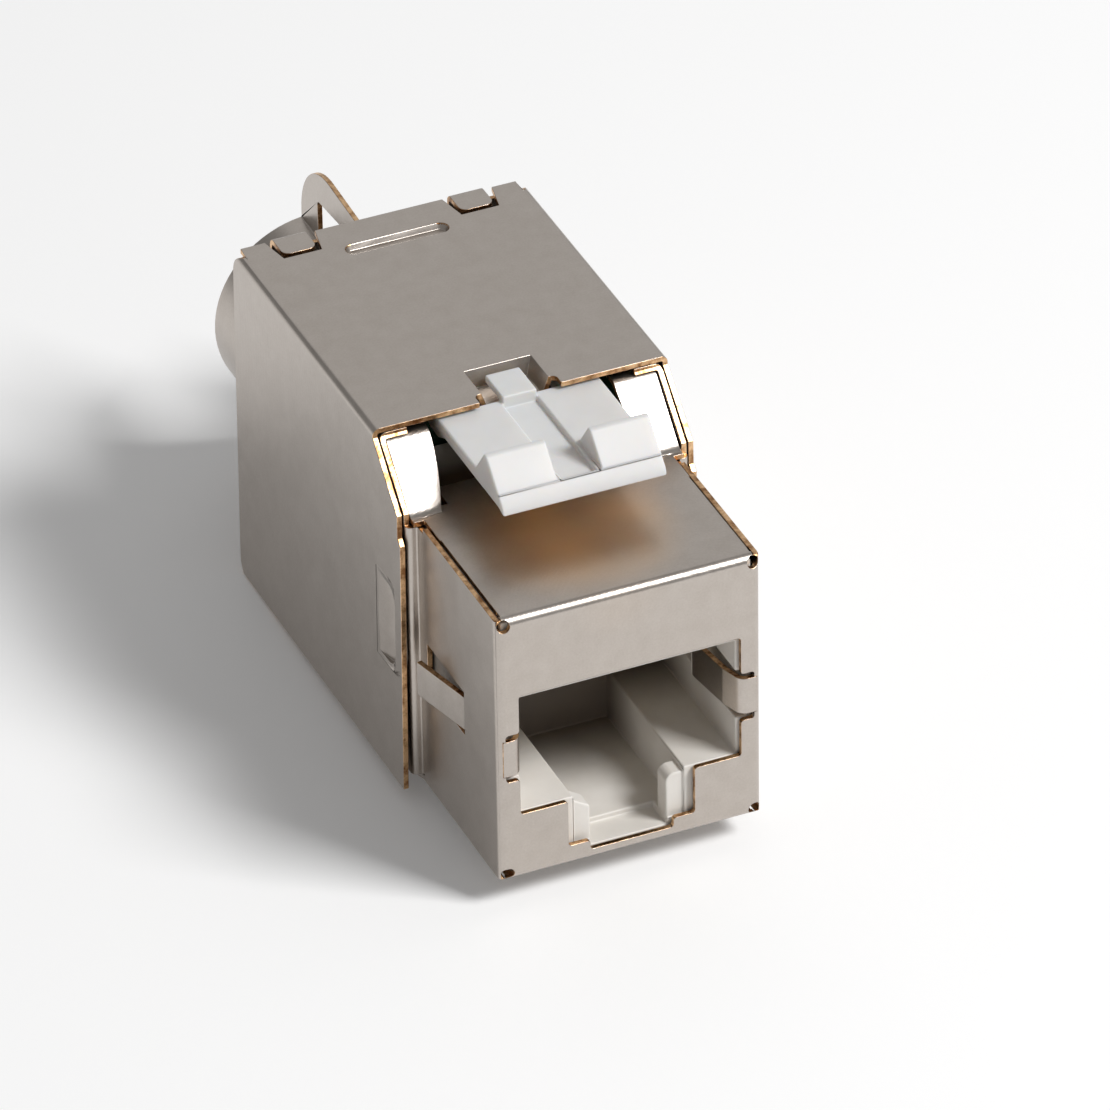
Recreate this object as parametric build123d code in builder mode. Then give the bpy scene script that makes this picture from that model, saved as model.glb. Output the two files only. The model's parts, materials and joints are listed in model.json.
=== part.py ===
from build123d import *
from math import hypot
import os

os.makedirs("parts", exist_ok=True)

# Frame: the origin is the middle of the plug port in the plane of the front face,
# +Y runs back along the jack, +Z is up, all lengths are millimetres.

# Sheet metal and running gaps
sheet = 0.3  # plated sheet
fold = 0.5  # outer radius of a folded edge
crease = 0.25  # centreline radius of a small joggle
sheet_gap = 0.05  # between two sheets that lie on each other
seat_gap = 0.1  # round a moulding in its housing
seam = 0.06  # open seam where two flaps meet

# Front housing
front_width = 14.5
front_height = 16.0
port_rise = 7.6  # from the base of the front housing up to the middle of the port
shoulder_y = 10.0  # shoulder that meets the back of the panel
shoulder_step = 0.575  # width of each shoulder
corner_relief = 0.33
seam_break = 7.9  # the seams beside the roof are wider in front of this
wide_seam = 0.12
flap_drop = 0.1  # of the side flaps' upper edges below the roof
flange_width = 1.55  # of the side walls' flanges under the top plate
tongue_end = 12.4
slope_setback = 0.45  # of the slopes' foot behind the shoulder
slope_bend = 0.9
slope_spread = 0.65  # of the slopes' inner edges, from top to foot
slope_tuck = 2.2  # length tucked under the top plate

# Plug port cut in the front face
port_top = 3.6
port_inset = 1.15  # of the port's sides from the sides of the housing
shelf_z = -3.65
shelf_half = 3.5
step_z = -6.4
step_half = 2.3
port_bottom = -6.95
port_round = 0.18

# Spring leaves beside the port and earthing fingers on the sides
leaf_low = -1.15
leaf_height = 2.15
leaf_relief = 0.35
leaf_root_inset = 0.4  # of the leaf's root from the side of the housing
leaf_length = 6.2
leaf_bow = 0.65  # reach of the leaf into the port
leaf_roll = 0.28
finger_root = 4.4
finger_length = 3.9
finger_low = -0.9
finger_height = 2.0
finger_spread = 0.95
finger_window = 4.7
finger_relief = 0.3

# Rear shell
shell_fold = 0.4  # outer radius of the folds beside the top plate
shell_splay = 0.2  # of each side, sprung open at its lower edge
shell_rise = 3.7  # of the top plate above the front housing
shell_drop = 0.33  # of the lower edge below the front housing
shell_front = 10.0
plate_front = 13.4
plate_setback = 0.1  # of the top plate's rear edge in front of the sides' rear edges
heel_radius = 1.3
toe_radius = 0.6
brow_radius = 1.3  # of the sides' rear upper corners
slope_rise = 2.94
lip_rise = 1.3  # of the set-back lip below the foot of the slope
rib_length = 5.8  # pressed rib near the back of the top plate
rib_width = 0.95
rib_inset = 2.5  # from the top plate's rear edge
rib_depth = 0.3
dimple_length = 4.8  # lanced dimples that lock into the side flaps
dimple_width = 2.0
dimple_y = 11.9
dimple_z = 1.4
dimple_depth = 0.4
dimple_round = 0.9
press_taper = 30
pocket_half = 1.85  # pressed pocket under the stop of the latch
pocket_length = 3.0
pocket_depth = 0.95
pocket_taper = 20
pocket_mouth = 0.75  # cut back at the plate's edge to clear the lever
notch_x = 5.0  # notches for the hooks of the rear cap
notch_mouth = 2.8
notch_root = 2.1
notch_depth = 1.8

# Rear cap
cap_gap = 0.05
cap_drop = 0.85  # of the wall's upper edge below the top plate
hook_width = 1.9
hook_reach = 0.4  # in front of the hinge axis
hook_round = 0.45
hinge_inset = 1.2  # of the hinge axis in front of the sides' rear edges
cap_flange_length = 3.8
cap_flange_low = 0.6
cap_flange_high = 17.5

# Cable collar, rolled with its left end turned up into an ear
collar_radius = 5.73
collar_length = 9.0
collar_rise = 8.6  # of its middle above the base of the front housing
collar_flange = 0.95
collar_seam = 0.3
ear_front = 0.4  # behind the flange
ear_height = 4.0  # above the tube, at the front of the ear
ear_climb = 0.55  # of the ear's upper edge towards its rounded rear corner
ear_round = 3.8
ear_post = 2.4
ear_strut = 1.5
ear_window_sill = 0.15
ear_window_top = 2.65
ear_window_fall = 0.35
mouth_front = 3.2  # opening beside the ear, behind the cap
mouth_reach = 4.1
mouth_low = 3.6  # above the middle of the collar

# Jack insert
cavity_inset = 0.15  # of the cavity's sides from the port's sides
cavity_roof = 3.2
cavity_end = 12.6
ledge_z = -3.7
key_half = 3.05
key_floor = -6.65
key_end = 10.0
sill_end = 2.1
post_width = 0.95
post_front = 0.5
post_length = 1.1
post_top = -4.0
post_slant = 0.6
carrier_inset = 1.15  # of the carrier's sides from the cavity's sides
lintel = 0.8
lug_half = 3.0
lug_front = 5.6
lug_back = 8.0
lug_drop = 1.3
peg_radius = 0.5
peg_inset = 0.65  # of the pegs from the sides of the insert
peg_z = -3.45

# Contacts
contact_count = 8
contact_pitch = 1.016
wire_size = 0.36
comb_slot = 0.56
contact_cover = 2.4  # from the lower row of contacts up to the top of the carrier
contact_stagger = 1.0
contact_front = 2.3
contact_low = 1.3
contact_back = 9.0
contact_tip = 11.2

# Circuit board
board_front = 16.6
board_thickness = 1.2
board_foot = 0.83  # above the floor
board_headroom = 0.7  # below the lever
hole_gap = 0.07

# Block that carries the insulation displacement blades
block_base = 2.0
block_headroom = 1.2  # below the lever
tower_length = 5.3
tower_width = 2.8
tower_height = 3.0
tower_inset = 1.9  # of the towers' middles from the sides of the block
tower_levels = 4
tower_margin = 0.7  # above and below the outer towers
blade_thickness = 0.4
blade_height = 2.2
blade_seat = 1.0  # depth of the blades in the base
blade_reach = 3.2  # of the blades beyond the towers
blade_slit = 0.3
blade_slit_depth = 3.4
blade_mouth = 0.5
blade_pin = 0.6
blade_gap = 0.06

# Wire guide carried in the rear cap
guide_clearance = 1.6  # behind the towers
guide_foot = 1.23  # above the floor
guide_headroom = 2.0  # below the top plate
cap_room = 3.6  # from the blades to the sides' rear edges
guide_slot = 0.9
guide_slot_depth = 2.2
guide_bore = 4.3
guide_groove = 1.2
guide_groove_depth = 1.7

# Latch lever
latch_half = 4.5
latch_front = 5.3
latch_rise = 3.2  # of the slab's top above the roof of the front housing
latch_slab = 0.7
latch_end = 13.9
lip_drop = 0.2
lip_height = 0.45
lip_lean = 0.2
tooth_crest_y = 7.45
tooth_crest = 0.3
tooth_rise = 1.45
tooth_foot_y = 8.85
tooth_gap = 1.2
channel_half = 0.95
channel_depth = 0.3
stop_front = 13.5
stop_end = 15.8
stop_rise = 0.4
stop_thickness = 0.45
leg_inner = 2.5
leg_outer = 4.4
pad_front = 13.9
pad_length = 1.0
gusset_drop = 0.6  # of the legs' thick roots below the slab
gusset_run = 1.3
pivot_inset = 0.4  # of the pivot behind the block's base
pivot_drop = 0.6  # of the pivot below the slab's top
pivot_radius = 0.55
pivot_gap = 0.05
cradle_x = 1.6
cradle_width = 1.0
cradle_wall = 0.6
cradle_grip = 0.2

# Levels that follow from the sizes above
base_z = -port_rise
roof_z = base_z + front_height
shell_top = roof_z + shell_rise
shell_bottom = base_z - shell_drop
plate_under = shell_top - sheet
floor_top = shell_bottom + sheet
wall_outer = front_width / 2 + shoulder_step
wall_inner = wall_outer - sheet
wall_mid = wall_outer - sheet / 2
inner_half = wall_inner - seat_gap
tower_x = inner_half - tower_inset
port_half = front_width / 2 - port_inset
cavity_half = port_half - cavity_inset
carrier_half = cavity_half - carrier_inset
shell_width = 2 * (wall_outer + sheet_gap + sheet)
slope_foot = shell_top - fold - slope_rise
lip_y = shoulder_y + sheet + sheet_gap
insert_half = front_width / 2 - sheet - seat_gap
peg_x = insert_half - peg_inset
insert_low = base_z + sheet + seat_gap
insert_high = roof_z - sheet - seat_gap
insert_front = sheet + seat_gap
insert_back = board_front - seat_gap
board_back = board_front + board_thickness
block_front = board_back + seat_gap
block_end = block_front + block_base
tower_end = block_end + tower_length
blade_front = block_end - blade_seat
blade_end = tower_end + blade_reach
guide_front = tower_end + guide_clearance
side_rear = blade_end + cap_room
floor_end = side_rear - sheet
plate_rear = side_rear - plate_setback
hinge_y = side_rear - hinge_inset
cap_flange_front = side_rear - cap_flange_length
pivot_y = block_end + pivot_inset
cap_y = side_rear + cap_gap
cap_mid = cap_y + sheet / 2
hinge_z = shell_top - sheet / 2
collar_z = base_z + collar_rise
collar_end = cap_y + sheet + collar_length
latch_top = roof_z + latch_rise
latch_bottom = latch_top - latch_slab
pivot_z = latch_top - pivot_drop
contact_run = insert_high - contact_cover
board_low = floor_top + board_foot
board_high = latch_bottom - board_headroom
block_high = latch_bottom - block_headroom
block_low = floor_top + seat_gap
tower_pitch = (block_high - block_low - 2 * tower_margin - tower_height) / (tower_levels - 1)
tower_z = [block_low + tower_margin + tower_height / 2 + row * tower_pitch for row in range(tower_levels)]
guide_low = floor_top + guide_foot
guide_high = plate_under - guide_headroom


def across(y):
    # upright plane across the jack: local x is X, local y is Z
    return Plane.XZ.offset(-y)


def along(x):
    # upright plane along the jack: local x is Y, local y is Z
    return Plane.YZ.offset(x)


def level(z):
    return Plane.XY.offset(z)


def strip(plane, points, radius, width=sheet):
    # section of a folded strip whose centreline runs through the given points
    with BuildSketch(plane) as section:
        with BuildLine():
            FilletPolyline(*points, radius=radius)
        trace(line_width=width)
    return section.sketch


# Front shield: one blank folded into the front housing, its shoulders, slopes and floor
bend_y = shoulder_y + sheet / 2 - crease
flap_x = front_width / 2 - sheet / 2
seam_x = front_width / 2 - sheet
with BuildPart() as front_shield:
    with BuildSketch(across(0)):
        with Locations((0, base_z)):
            Rectangle(front_width, front_height, align=(Align.CENTER, Align.MIN))
    extrude(amount=-bend_y)
    fillet(front_shield.faces().sort_by(Axis.Y)[0].edges(), radius=fold)
    offset(amount=-sheet, openings=front_shield.faces().sort_by(Axis.Y)[-1])

    # open seams beside the roof and the base, wider in front, with the side flaps a little low
    for hand in (-1, 1):
        for z in (base_z, roof_z):
            with Locations((hand * (seam_x - seam / 2), (fold + bend_y) / 2, z)):
                Box(seam, bend_y, 2.5 * sheet, mode=Mode.SUBTRACT)
            with Locations((hand * (seam_x - wide_seam / 2), (fold + seam_break) / 2, z)):
                Box(wide_seam, seam_break - fold, 2.5 * sheet, mode=Mode.SUBTRACT)
        with Locations((hand * flap_x, (fold + bend_y) / 2, roof_z)):
            Box(sheet, bend_y, 2 * flap_drop, mode=Mode.SUBTRACT)

    # relief holes where the seams meet the front face
    relief_x = seam_x - wide_seam
    relief_z = [base_z + sheet + wide_seam, roof_z - sheet - wide_seam]
    with BuildSketch(across(-fold)):
        with Locations(*[(x, z) for x in (-relief_x, relief_x) for z in relief_z]):
            Circle(corner_relief)
    extrude(amount=-3 * fold, mode=Mode.SUBTRACT)

    # the port, with room beside it for the spring leaves
    leaf_root = front_width / 2 - leaf_root_inset
    with BuildSketch(across(0)) as port:
        with BuildLine():
            Polyline(
                (0, port_top),
                (port_half, port_top),
                (port_half, shelf_z),
                (shelf_half, shelf_z),
                (shelf_half, step_z),
                (step_half, step_z),
                (step_half, port_bottom),
                (0, port_bottom),
            )
            mirror(about=Plane.YZ)
        make_face()
        with Locations((0, leaf_low + leaf_height / 2)):
            Rectangle(2 * leaf_root, leaf_height + 2 * leaf_relief)
        fillet(port.vertices(), radius=port_round)
    extrude(amount=-fold, mode=Mode.SUBTRACT)

    # spring leaves rolled back into the port
    for hand in (-1, 1):
        leaf = strip(
            level(leaf_low),
            [
                (hand * (leaf_root + sheet / 2), sheet / 2),
                (hand * (port_half + 0.1), sheet / 2),
                (hand * (port_half - leaf_roll), leaf_roll * 5),
                (hand * (port_half - leaf_bow), leaf_length - 2.0),
                (hand * (port_half - leaf_bow + 0.3), leaf_length),
            ],
            [0.45, 1.0, 1.0],
        )
        extrude(leaf, amount=leaf_height)

    # earthing fingers lanced out of the side flaps
    with BuildSketch(along(-front_width)):
        with Locations((finger_root, finger_low - finger_relief)):
            Rectangle(
                finger_window,
                finger_height + 2 * finger_relief,
                align=(Align.MIN, Align.MIN),
            )
    extrude(amount=2 * front_width, mode=Mode.SUBTRACT)
    for hand in (-1, 1):
        finger = strip(
            level(finger_low),
            [
                (hand * flap_x, finger_root - fold),
                (hand * flap_x, finger_root),
                (hand * (flap_x + finger_spread), finger_root + finger_length),
            ],
            1.0,
        )
        extrude(finger, amount=finger_height)

    # window for the fixed lug
    with BuildSketch(level(base_z - sheet)):
        with Locations((0, (lug_front + lug_back) / 2)):
            Rectangle(2 * (lug_half + seat_gap), lug_back - lug_front + 2 * seat_gap)
    extrude(amount=3 * sheet, mode=Mode.SUBTRACT)

    # shoulders: the side flaps step out and run back as walls flanged under the top plate
    wall_low = base_z + sheet + seam
    wall_front = shoulder_y + 3 * fold
    flange_z = plate_under - sheet_gap - sheet / 2
    for hand in (-1, 1):
        shoulder = strip(
            level(wall_low),
            [
                (hand * flap_x, bend_y - fold),
                (hand * flap_x, shoulder_y + sheet / 2),
                (hand * wall_mid, shoulder_y + sheet / 2),
                (hand * wall_mid, wall_front + fold),
            ],
            [crease, 0.2],
        )
        extrude(shoulder, amount=flange_z - fold - wall_low)
        wall = strip(
            across(wall_front),
            [
                (hand * wall_mid, wall_low),
                (hand * wall_mid, flange_z),
                (hand * (wall_outer - flange_width), flange_z),
            ],
            crease,
        )
        extrude(wall, amount=-(cap_flange_front - seat_gap - wall_front))

    # windows in which the dimples of the rear shell lock
    with BuildSketch(along(-shell_width)):
        with Locations((dimple_y, dimple_z)):
            RectangleRounded(
                dimple_width + 2 * (sheet + seat_gap),
                dimple_length + 2 * (sheet + seat_gap),
                dimple_round,
            )
    extrude(amount=2 * shell_width, mode=Mode.SUBTRACT)

    # the walls follow the sloping edge of the shell
    relief_top = shell_top + fold
    relief_front = bend_y - fold - seam
    with BuildSketch(along(-shell_width / 2)):
        with BuildLine():
            Polyline(
                (relief_front, roof_z - sheet - seam),
                (lip_y, roof_z - sheet - seam),
                (lip_y, slope_foot),
                (plate_front, shell_top - fold),
                (plate_front, relief_top),
                (relief_front, relief_top),
                close=True,
            )
        make_face()
    extrude(amount=shell_width, mode=Mode.SUBTRACT)

    # top flap and its tongue
    roof_half = seam_x - seam
    roof_patch = bend_y - 1.0
    slope_inner = latch_half + 0.6
    with BuildSketch(level(roof_z - sheet)):
        with Locations((0, roof_patch)):
            Rectangle(2 * roof_half, bend_y + sheet - roof_patch, align=(Align.CENTER, Align.MIN))
            Rectangle(
                2 * slope_inner + sheet, tongue_end - roof_patch, align=(Align.CENTER, Align.MIN)
            )
    extrude(amount=sheet)

    # slopes that rise from the top flap and tuck under the flanges of the walls
    slope_top = flange_z - sheet - sheet_gap
    slope_outer = wall_inner - sheet_gap
    slope_y = shoulder_y + slope_setback
    for hand in (-1, 1):
        slope = strip(
            along(hand * slope_outer),
            [
                (bend_y, roof_z - sheet / 2),
                (slope_y, roof_z - sheet / 2),
                (slope_y + slope_top - roof_z + sheet / 2, slope_top),
                (plate_front + slope_tuck, slope_top),
            ],
            [slope_bend, fold],
        )
        extrude(slope, amount=-hand * (slope_outer - slope_inner))
    with BuildSketch(across(bend_y)):
        with BuildLine():
            ThreePointArc(
                (slope_inner + slope_spread, roof_z),
                (slope_inner + slope_spread / 4, (roof_z + slope_top) / 2),
                (slope_inner, slope_top - sheet),
            )
            Polyline(
                (slope_inner, slope_top - sheet),
                (slope_inner - fold, slope_top - sheet),
                (slope_inner - fold, roof_z),
                (slope_inner + slope_spread, roof_z),
            )
        make_face()
        mirror(about=Plane.YZ)
    extrude(amount=-(plate_front - bend_y), mode=Mode.SUBTRACT)

    # the bottom flap steps down and runs back as the floor
    joggle = strip(
        along(-front_width / 2),
        [
            (bend_y - fold, base_z + sheet / 2),
            (shoulder_y, base_z + sheet / 2),
            (shoulder_y + 1.0, floor_top - sheet / 2),
            (shoulder_y + 2.0, floor_top - sheet / 2),
        ],
        crease,
    )
    extrude(joggle, amount=front_width)
    with BuildSketch(level(shell_bottom)):
        with Locations((0, shoulder_y + 1.5)):
            Rectangle(
                2 * (wall_inner - seam),
                floor_end - shoulder_y - 1.5,
                align=(Align.CENTER, Align.MIN),
            )
    extrude(amount=sheet)

front_shield.part.label = "front_shield"
export_step(front_shield.part, "parts/front_shield.step")

# Rear shell: folded cover of top plate and two sides, which spring open a little
with BuildPart() as rear_shell:
    edge_mid = shell_width / 2 - sheet / 2
    cover = strip(
        across(0),
        [
            (-edge_mid - shell_splay, shell_bottom),
            (-edge_mid, shell_top - sheet / 2),
            (edge_mid, shell_top - sheet / 2),
            (edge_mid + shell_splay, shell_bottom),
        ],
        shell_fold - sheet / 2,
    )
    extrude(cover, amount=-side_rear)
    with BuildSketch(along(-shell_width)) as outline:
        with BuildLine():
            Polyline(
                (shell_front, shell_bottom - sheet),
                (side_rear, shell_bottom - sheet),
                (side_rear, shell_top),
                (plate_front, shell_top),
                (plate_front, shell_top - fold),
                (lip_y, slope_foot),
                (lip_y, slope_foot - lip_rise),
                (shell_front, slope_foot - lip_rise + shell_front - lip_y),
                close=True,
            )
        make_face()
        rear_corners = outline.vertices().group_by(Axis.X)[-1].sort_by(Axis.Y)
        front_corners = outline.vertices().group_by(Axis.X)[0].sort_by(Axis.Y)
        fillet(rear_corners[0], radius=heel_radius)
        fillet(front_corners[0], radius=toe_radius)
    extrude(amount=2 * shell_width, mode=Mode.INTERSECT)
    for hand in (-1, 1):
        with BuildSketch(along(hand * (shell_width / 2 - shell_fold))):
            with Locations((side_rear - brow_radius, shell_top - brow_radius)):
                Rectangle(2 * brow_radius, 2 * brow_radius, align=(Align.MIN, Align.MIN))
                Circle(brow_radius, mode=Mode.SUBTRACT)
        extrude(amount=hand * (shell_fold + shell_splay), mode=Mode.SUBTRACT)

    # the top plate ends short of the sides and is notched for the hooks
    with BuildSketch(level(plate_under - sheet_gap)):
        with Locations((0, plate_rear)):
            Rectangle(shell_width - 2 * shell_fold, 2 * fold, align=(Align.CENTER, Align.MIN))
        with BuildLine():
            Polyline(
                (notch_x - notch_mouth / 2, plate_rear),
                (notch_x - notch_root / 2, plate_rear - notch_depth),
                (notch_x + notch_root / 2, plate_rear - notch_depth),
                (notch_x + notch_mouth / 2, plate_rear),
                close=True,
            )
        make_face()
        mirror(about=Plane.YZ)
    extrude(amount=sheet + 2 * sheet_gap, mode=Mode.SUBTRACT)

    # pressed rib and pocket: each is set inwards and then hollowed
    rib_y = plate_rear - rib_inset
    rib_face = Plane(origin=(0, rib_y, shell_top), x_dir=(1, 0, 0), z_dir=(0, 0, -1))
    pocket_face = Plane(origin=(0, plate_front, shell_top), x_dir=(1, 0, 0), z_dir=(0, 0, -1))
    with BuildSketch(rib_face.offset(sheet / 2)):
        SlotOverall(rib_length + 2 * sheet, rib_width + 2 * sheet)
    extrude(amount=rib_depth + sheet / 2, taper=press_taper)
    with BuildSketch(rib_face):
        SlotOverall(rib_length, rib_width)
    extrude(amount=rib_depth, taper=press_taper, mode=Mode.SUBTRACT)
    with BuildSketch(pocket_face):
        Rectangle(
            2 * (pocket_half + sheet), pocket_length + sheet, align=(Align.CENTER, Align.MAX)
        )
    extrude(amount=pocket_depth + sheet, taper=pocket_taper)
    with BuildSketch(pocket_face):
        Rectangle(2 * pocket_half, 2 * pocket_length, align=(Align.CENTER, Align.CENTER))
    extrude(amount=pocket_depth, taper=pocket_taper, mode=Mode.SUBTRACT)
    with BuildSketch(pocket_face) as mouth:
        Rectangle(2 * (pocket_half + sheet + seat_gap), 2 * pocket_mouth)
        fillet(mouth.vertices(), radius=sheet)
    extrude(amount=pocket_depth + 2 * sheet, mode=Mode.SUBTRACT)

    # dimples: steep in front, each floor runs out to the rear
    shell_height = shell_top - shell_bottom
    side_x = shell_width / 2 + shell_splay * (shell_top - dimple_z) / shell_height
    dimple_run = hypot(dimple_width, dimple_depth)
    for hand in (-1, 1):
        rear_end = (hand * side_x, dimple_y + dimple_width / 2, dimple_z)
        upwards = Vector(-hand * shell_splay, 0, shell_height)
        forwards = Vector(-hand * dimple_depth, -dimple_width, 0)
        outside = Plane(origin=rear_end, x_dir=(0, 1, 0), z_dir=(hand * shell_height, 0, shell_splay))
        ramp = Plane(origin=rear_end, x_dir=forwards, z_dir=forwards.cross(upwards) * -hand)
        with BuildSketch(ramp.offset(-sheet)) as backing:
            with Locations((-sheet, 0)):
                Rectangle(
                    dimple_run + 2 * sheet, dimple_length + 2 * sheet, align=(Align.MIN, Align.CENTER)
                )
            fillet(backing.vertices().group_by(Axis.X)[-1], radius=dimple_round)
        extrude(amount=sheet + dimple_depth)
        with BuildSketch(outside):
            Rectangle(3 * dimple_width, 2 * dimple_length)
        extrude(amount=2 * sheet, mode=Mode.SUBTRACT)
        with BuildSketch(ramp) as hollow:
            Rectangle(dimple_run, dimple_length, align=(Align.MIN, Align.CENTER))
            fillet(hollow.vertices().group_by(Axis.X)[-1], radius=dimple_round)
        extrude(amount=2 * sheet, mode=Mode.SUBTRACT)

rear_shell.part.label = "rear_shell"
export_step(rear_shell.part, "parts/rear_shell.step")

# Rear cap: closes the back and swings on two hooks in the notches of the top plate
with BuildPart() as rear_cap:
    back = strip(
        level(floor_top),
        [
            (-wall_mid, cap_flange_front),
            (-wall_mid, cap_mid),
            (wall_mid, cap_mid),
            (wall_mid, cap_flange_front),
        ],
        fold - sheet / 2,
    )
    extrude(back, amount=shell_top - cap_drop - floor_top)

    # only the middle of each side carries a flange
    with BuildSketch(along(-shell_width)):
        with Locations((cap_flange_front, base_z + cap_flange_high)):
            Rectangle(cap_y - cap_flange_front, front_height, align=(Align.MIN, Align.MIN))
        with Locations((cap_flange_front, base_z + cap_flange_low)):
            Rectangle(cap_y - cap_flange_front, front_height, align=(Align.MIN, Align.MAX))
    extrude(amount=2 * shell_width, mode=Mode.SUBTRACT)
    with BuildSketch(across(cap_y - fold)):
        with Locations((0, collar_z)):
            Circle(collar_radius + sheet_gap)
    extrude(amount=-2 * fold, mode=Mode.SUBTRACT)

    # hooks lie flush in the notches
    for hand in (-1, 1):
        hook = strip(
            along(hand * notch_x - hook_width / 2),
            [
                (hinge_y - hook_reach, hinge_z),
                (cap_mid, hinge_z),
                (cap_mid, shell_top - cap_drop - fold),
            ],
            fold - sheet / 2,
        )
        extrude(hook, amount=hook_width)
    hook_front = hinge_y - hook_reach
    hook_corners = rear_cap.edges().filter_by(Axis.Z)
    hook_corners = hook_corners.filter_by_position(Axis.Y, hook_front - seam, hook_front + seam)
    fillet(hook_corners, radius=hook_round)

rear_cap.part.label = "rear_cap"
export_step(rear_cap.part, "parts/rear_cap.step")

# Cable collar: rolled tube spun into the cap, its left end turned up into an ear
ear_y = cap_y + 2 * sheet + sheet_gap + ear_front
ear_end = collar_end - seam
tube_top = collar_z + collar_radius
ear_top = tube_top + ear_height + ear_climb
window_top = tube_top + ear_window_top
window_sill = tube_top + ear_window_sill
with BuildPart() as cable_collar:
    with BuildSketch(across(cap_y)):
        with Locations((0, collar_z)):
            Circle(collar_radius)
            Circle(collar_radius - sheet, mode=Mode.SUBTRACT)
        with Locations((-collar_seam - sheet / 2, tube_top - sheet)):
            Rectangle(sheet, ear_top - tube_top + sheet, align=(Align.CENTER, Align.MIN))
    extrude(amount=-(collar_end - cap_y))

    # side view of the ear: a bent band over a window
    with BuildSketch(along(-2 * sheet - collar_seam)):
        with Locations((cap_y - fold, tube_top)):
            Rectangle(
                collar_end - cap_y + 2 * fold, ear_top - tube_top + fold, align=(Align.MIN, Align.MIN)
            )
        with BuildLine():
            FilletPolyline(
                (ear_y, tube_top),
                (ear_y, ear_top - ear_climb),
                (ear_end, ear_top),
                (ear_end, tube_top),
                radius=[ear_strut / 2, ear_round],
            )
            Line((ear_end, tube_top), (ear_y, tube_top))
        make_face(mode=Mode.SUBTRACT)
        with BuildLine():
            FilletPolyline(
                (ear_y + ear_strut, window_sill),
                (ear_y + ear_strut, window_top),
                (collar_end - ear_post, window_top - ear_window_fall),
                (collar_end - ear_post, window_sill),
                radius=sheet,
                close=True,
            )
        make_face()
    extrude(amount=2 * sheet + collar_seam, mode=Mode.SUBTRACT)

    # opening beside the ear, through which a tie reaches the cable
    with BuildSketch(level(collar_z + mouth_low)) as mouth:
        with Locations((-collar_seam, cap_y + sheet + mouth_front)):
            Rectangle(mouth_reach + collar_seam, collar_length, align=(Align.MIN, Align.MIN))
        fillet(mouth.vertices().sort_by(Axis.Y)[:2].sort_by(Axis.X)[-1], radius=2 * fold)
    extrude(amount=collar_radius, mode=Mode.SUBTRACT)

    # flange that seats on the cap
    with BuildSketch(across(cap_y + sheet + sheet_gap)):
        with Locations((0, collar_z)):
            Circle(collar_radius + collar_flange)
            Circle(collar_radius - sheet, mode=Mode.SUBTRACT)
    extrude(amount=-sheet)
    with Locations((-collar_seam / 2, (cap_y + collar_end) / 2, tube_top)):
        Box(collar_seam, collar_end - cap_y + fold, 3 * collar_flange, mode=Mode.SUBTRACT)

cable_collar.part.label = "cable_collar"
export_step(cable_collar.part, "parts/cable_collar.step")

# Jack insert: white moulding with the plug cavity
with BuildPart() as jack_insert:
    with BuildSketch(across(insert_front)):
        with Locations((0, insert_low)):
            Rectangle(2 * insert_half, insert_high - insert_low, align=(Align.CENTER, Align.MIN))
    extrude(amount=-(insert_back - insert_front))

    # plug cavity, key channel and sill
    with BuildSketch(across(insert_front)):
        with Locations((0, ledge_z)):
            Rectangle(2 * cavity_half, cavity_roof - ledge_z, align=(Align.CENTER, Align.MIN))
    extrude(amount=-(cavity_end - insert_front), mode=Mode.SUBTRACT)
    with BuildSketch(across(insert_front)):
        with Locations((0, key_floor)):
            Rectangle(2 * key_half, ledge_z - key_floor, align=(Align.CENTER, Align.MIN))
    extrude(amount=-(key_end - insert_front), mode=Mode.SUBTRACT)
    with BuildSketch(across(insert_front)):
        with Locations((0, port_bottom)):
            Rectangle(
                2 * (key_half - post_width), key_floor - port_bottom, align=(Align.CENTER, Align.MIN)
            )
    extrude(amount=-(sill_end - insert_front), mode=Mode.SUBTRACT)

    # posts beside the key channel: the left one is slanted, the right one rounded
    post_inner = key_half - post_width
    with BuildSketch(across(post_front)):
        with BuildLine():
            Polyline(
                (-key_half, key_floor),
                (-post_inner, key_floor),
                (-post_inner, post_top - post_slant),
                (-key_half, post_top),
                close=True,
            )
        make_face()
    extrude(amount=-post_length)
    with BuildSketch(across(post_front)) as right_post:
        with Locations((key_half, key_floor)):
            Rectangle(post_width, post_top - key_floor, align=(Align.MAX, Align.MIN))
        fillet(right_post.vertices().sort_by(Axis.Y)[-2:].sort_by(Axis.X)[0], radius=0.5)
    extrude(amount=-post_length)

    # side pockets in which the spring leaves flex
    with BuildSketch(across(insert_front)):
        with Locations((0, leaf_low + leaf_height / 2)):
            Rectangle(2 * (port_half + 1.5 * sheet), leaf_height + 2 * leaf_relief)
    extrude(amount=-(leaf_length + 2 * fold - insert_front), mode=Mode.SUBTRACT)

    # pocket for the contact carrier, open above and behind
    with BuildSketch(level(cavity_roof)):
        with Locations((0, insert_front + lintel)):
            Rectangle(2 * (carrier_half + seat_gap), insert_back, align=(Align.CENTER, Align.MIN))
    extrude(amount=front_height, mode=Mode.SUBTRACT)

    # fixed lug below and locating pegs behind
    with BuildSketch(along(-lug_half)):
        with BuildLine():
            Polyline(
                (lug_front, insert_low + fold),
                (lug_front, base_z),
                (lug_back - 0.6, base_z - lug_drop),
                (lug_back, base_z - lug_drop),
                (lug_back, insert_low + fold),
                close=True,
            )
        make_face()
    extrude(amount=2 * lug_half)
    with BuildSketch(across(insert_back)):
        with Locations((-peg_x, peg_z), (peg_x, peg_z)):
            Circle(peg_radius)
    extrude(amount=-(board_back - insert_back))

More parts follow.
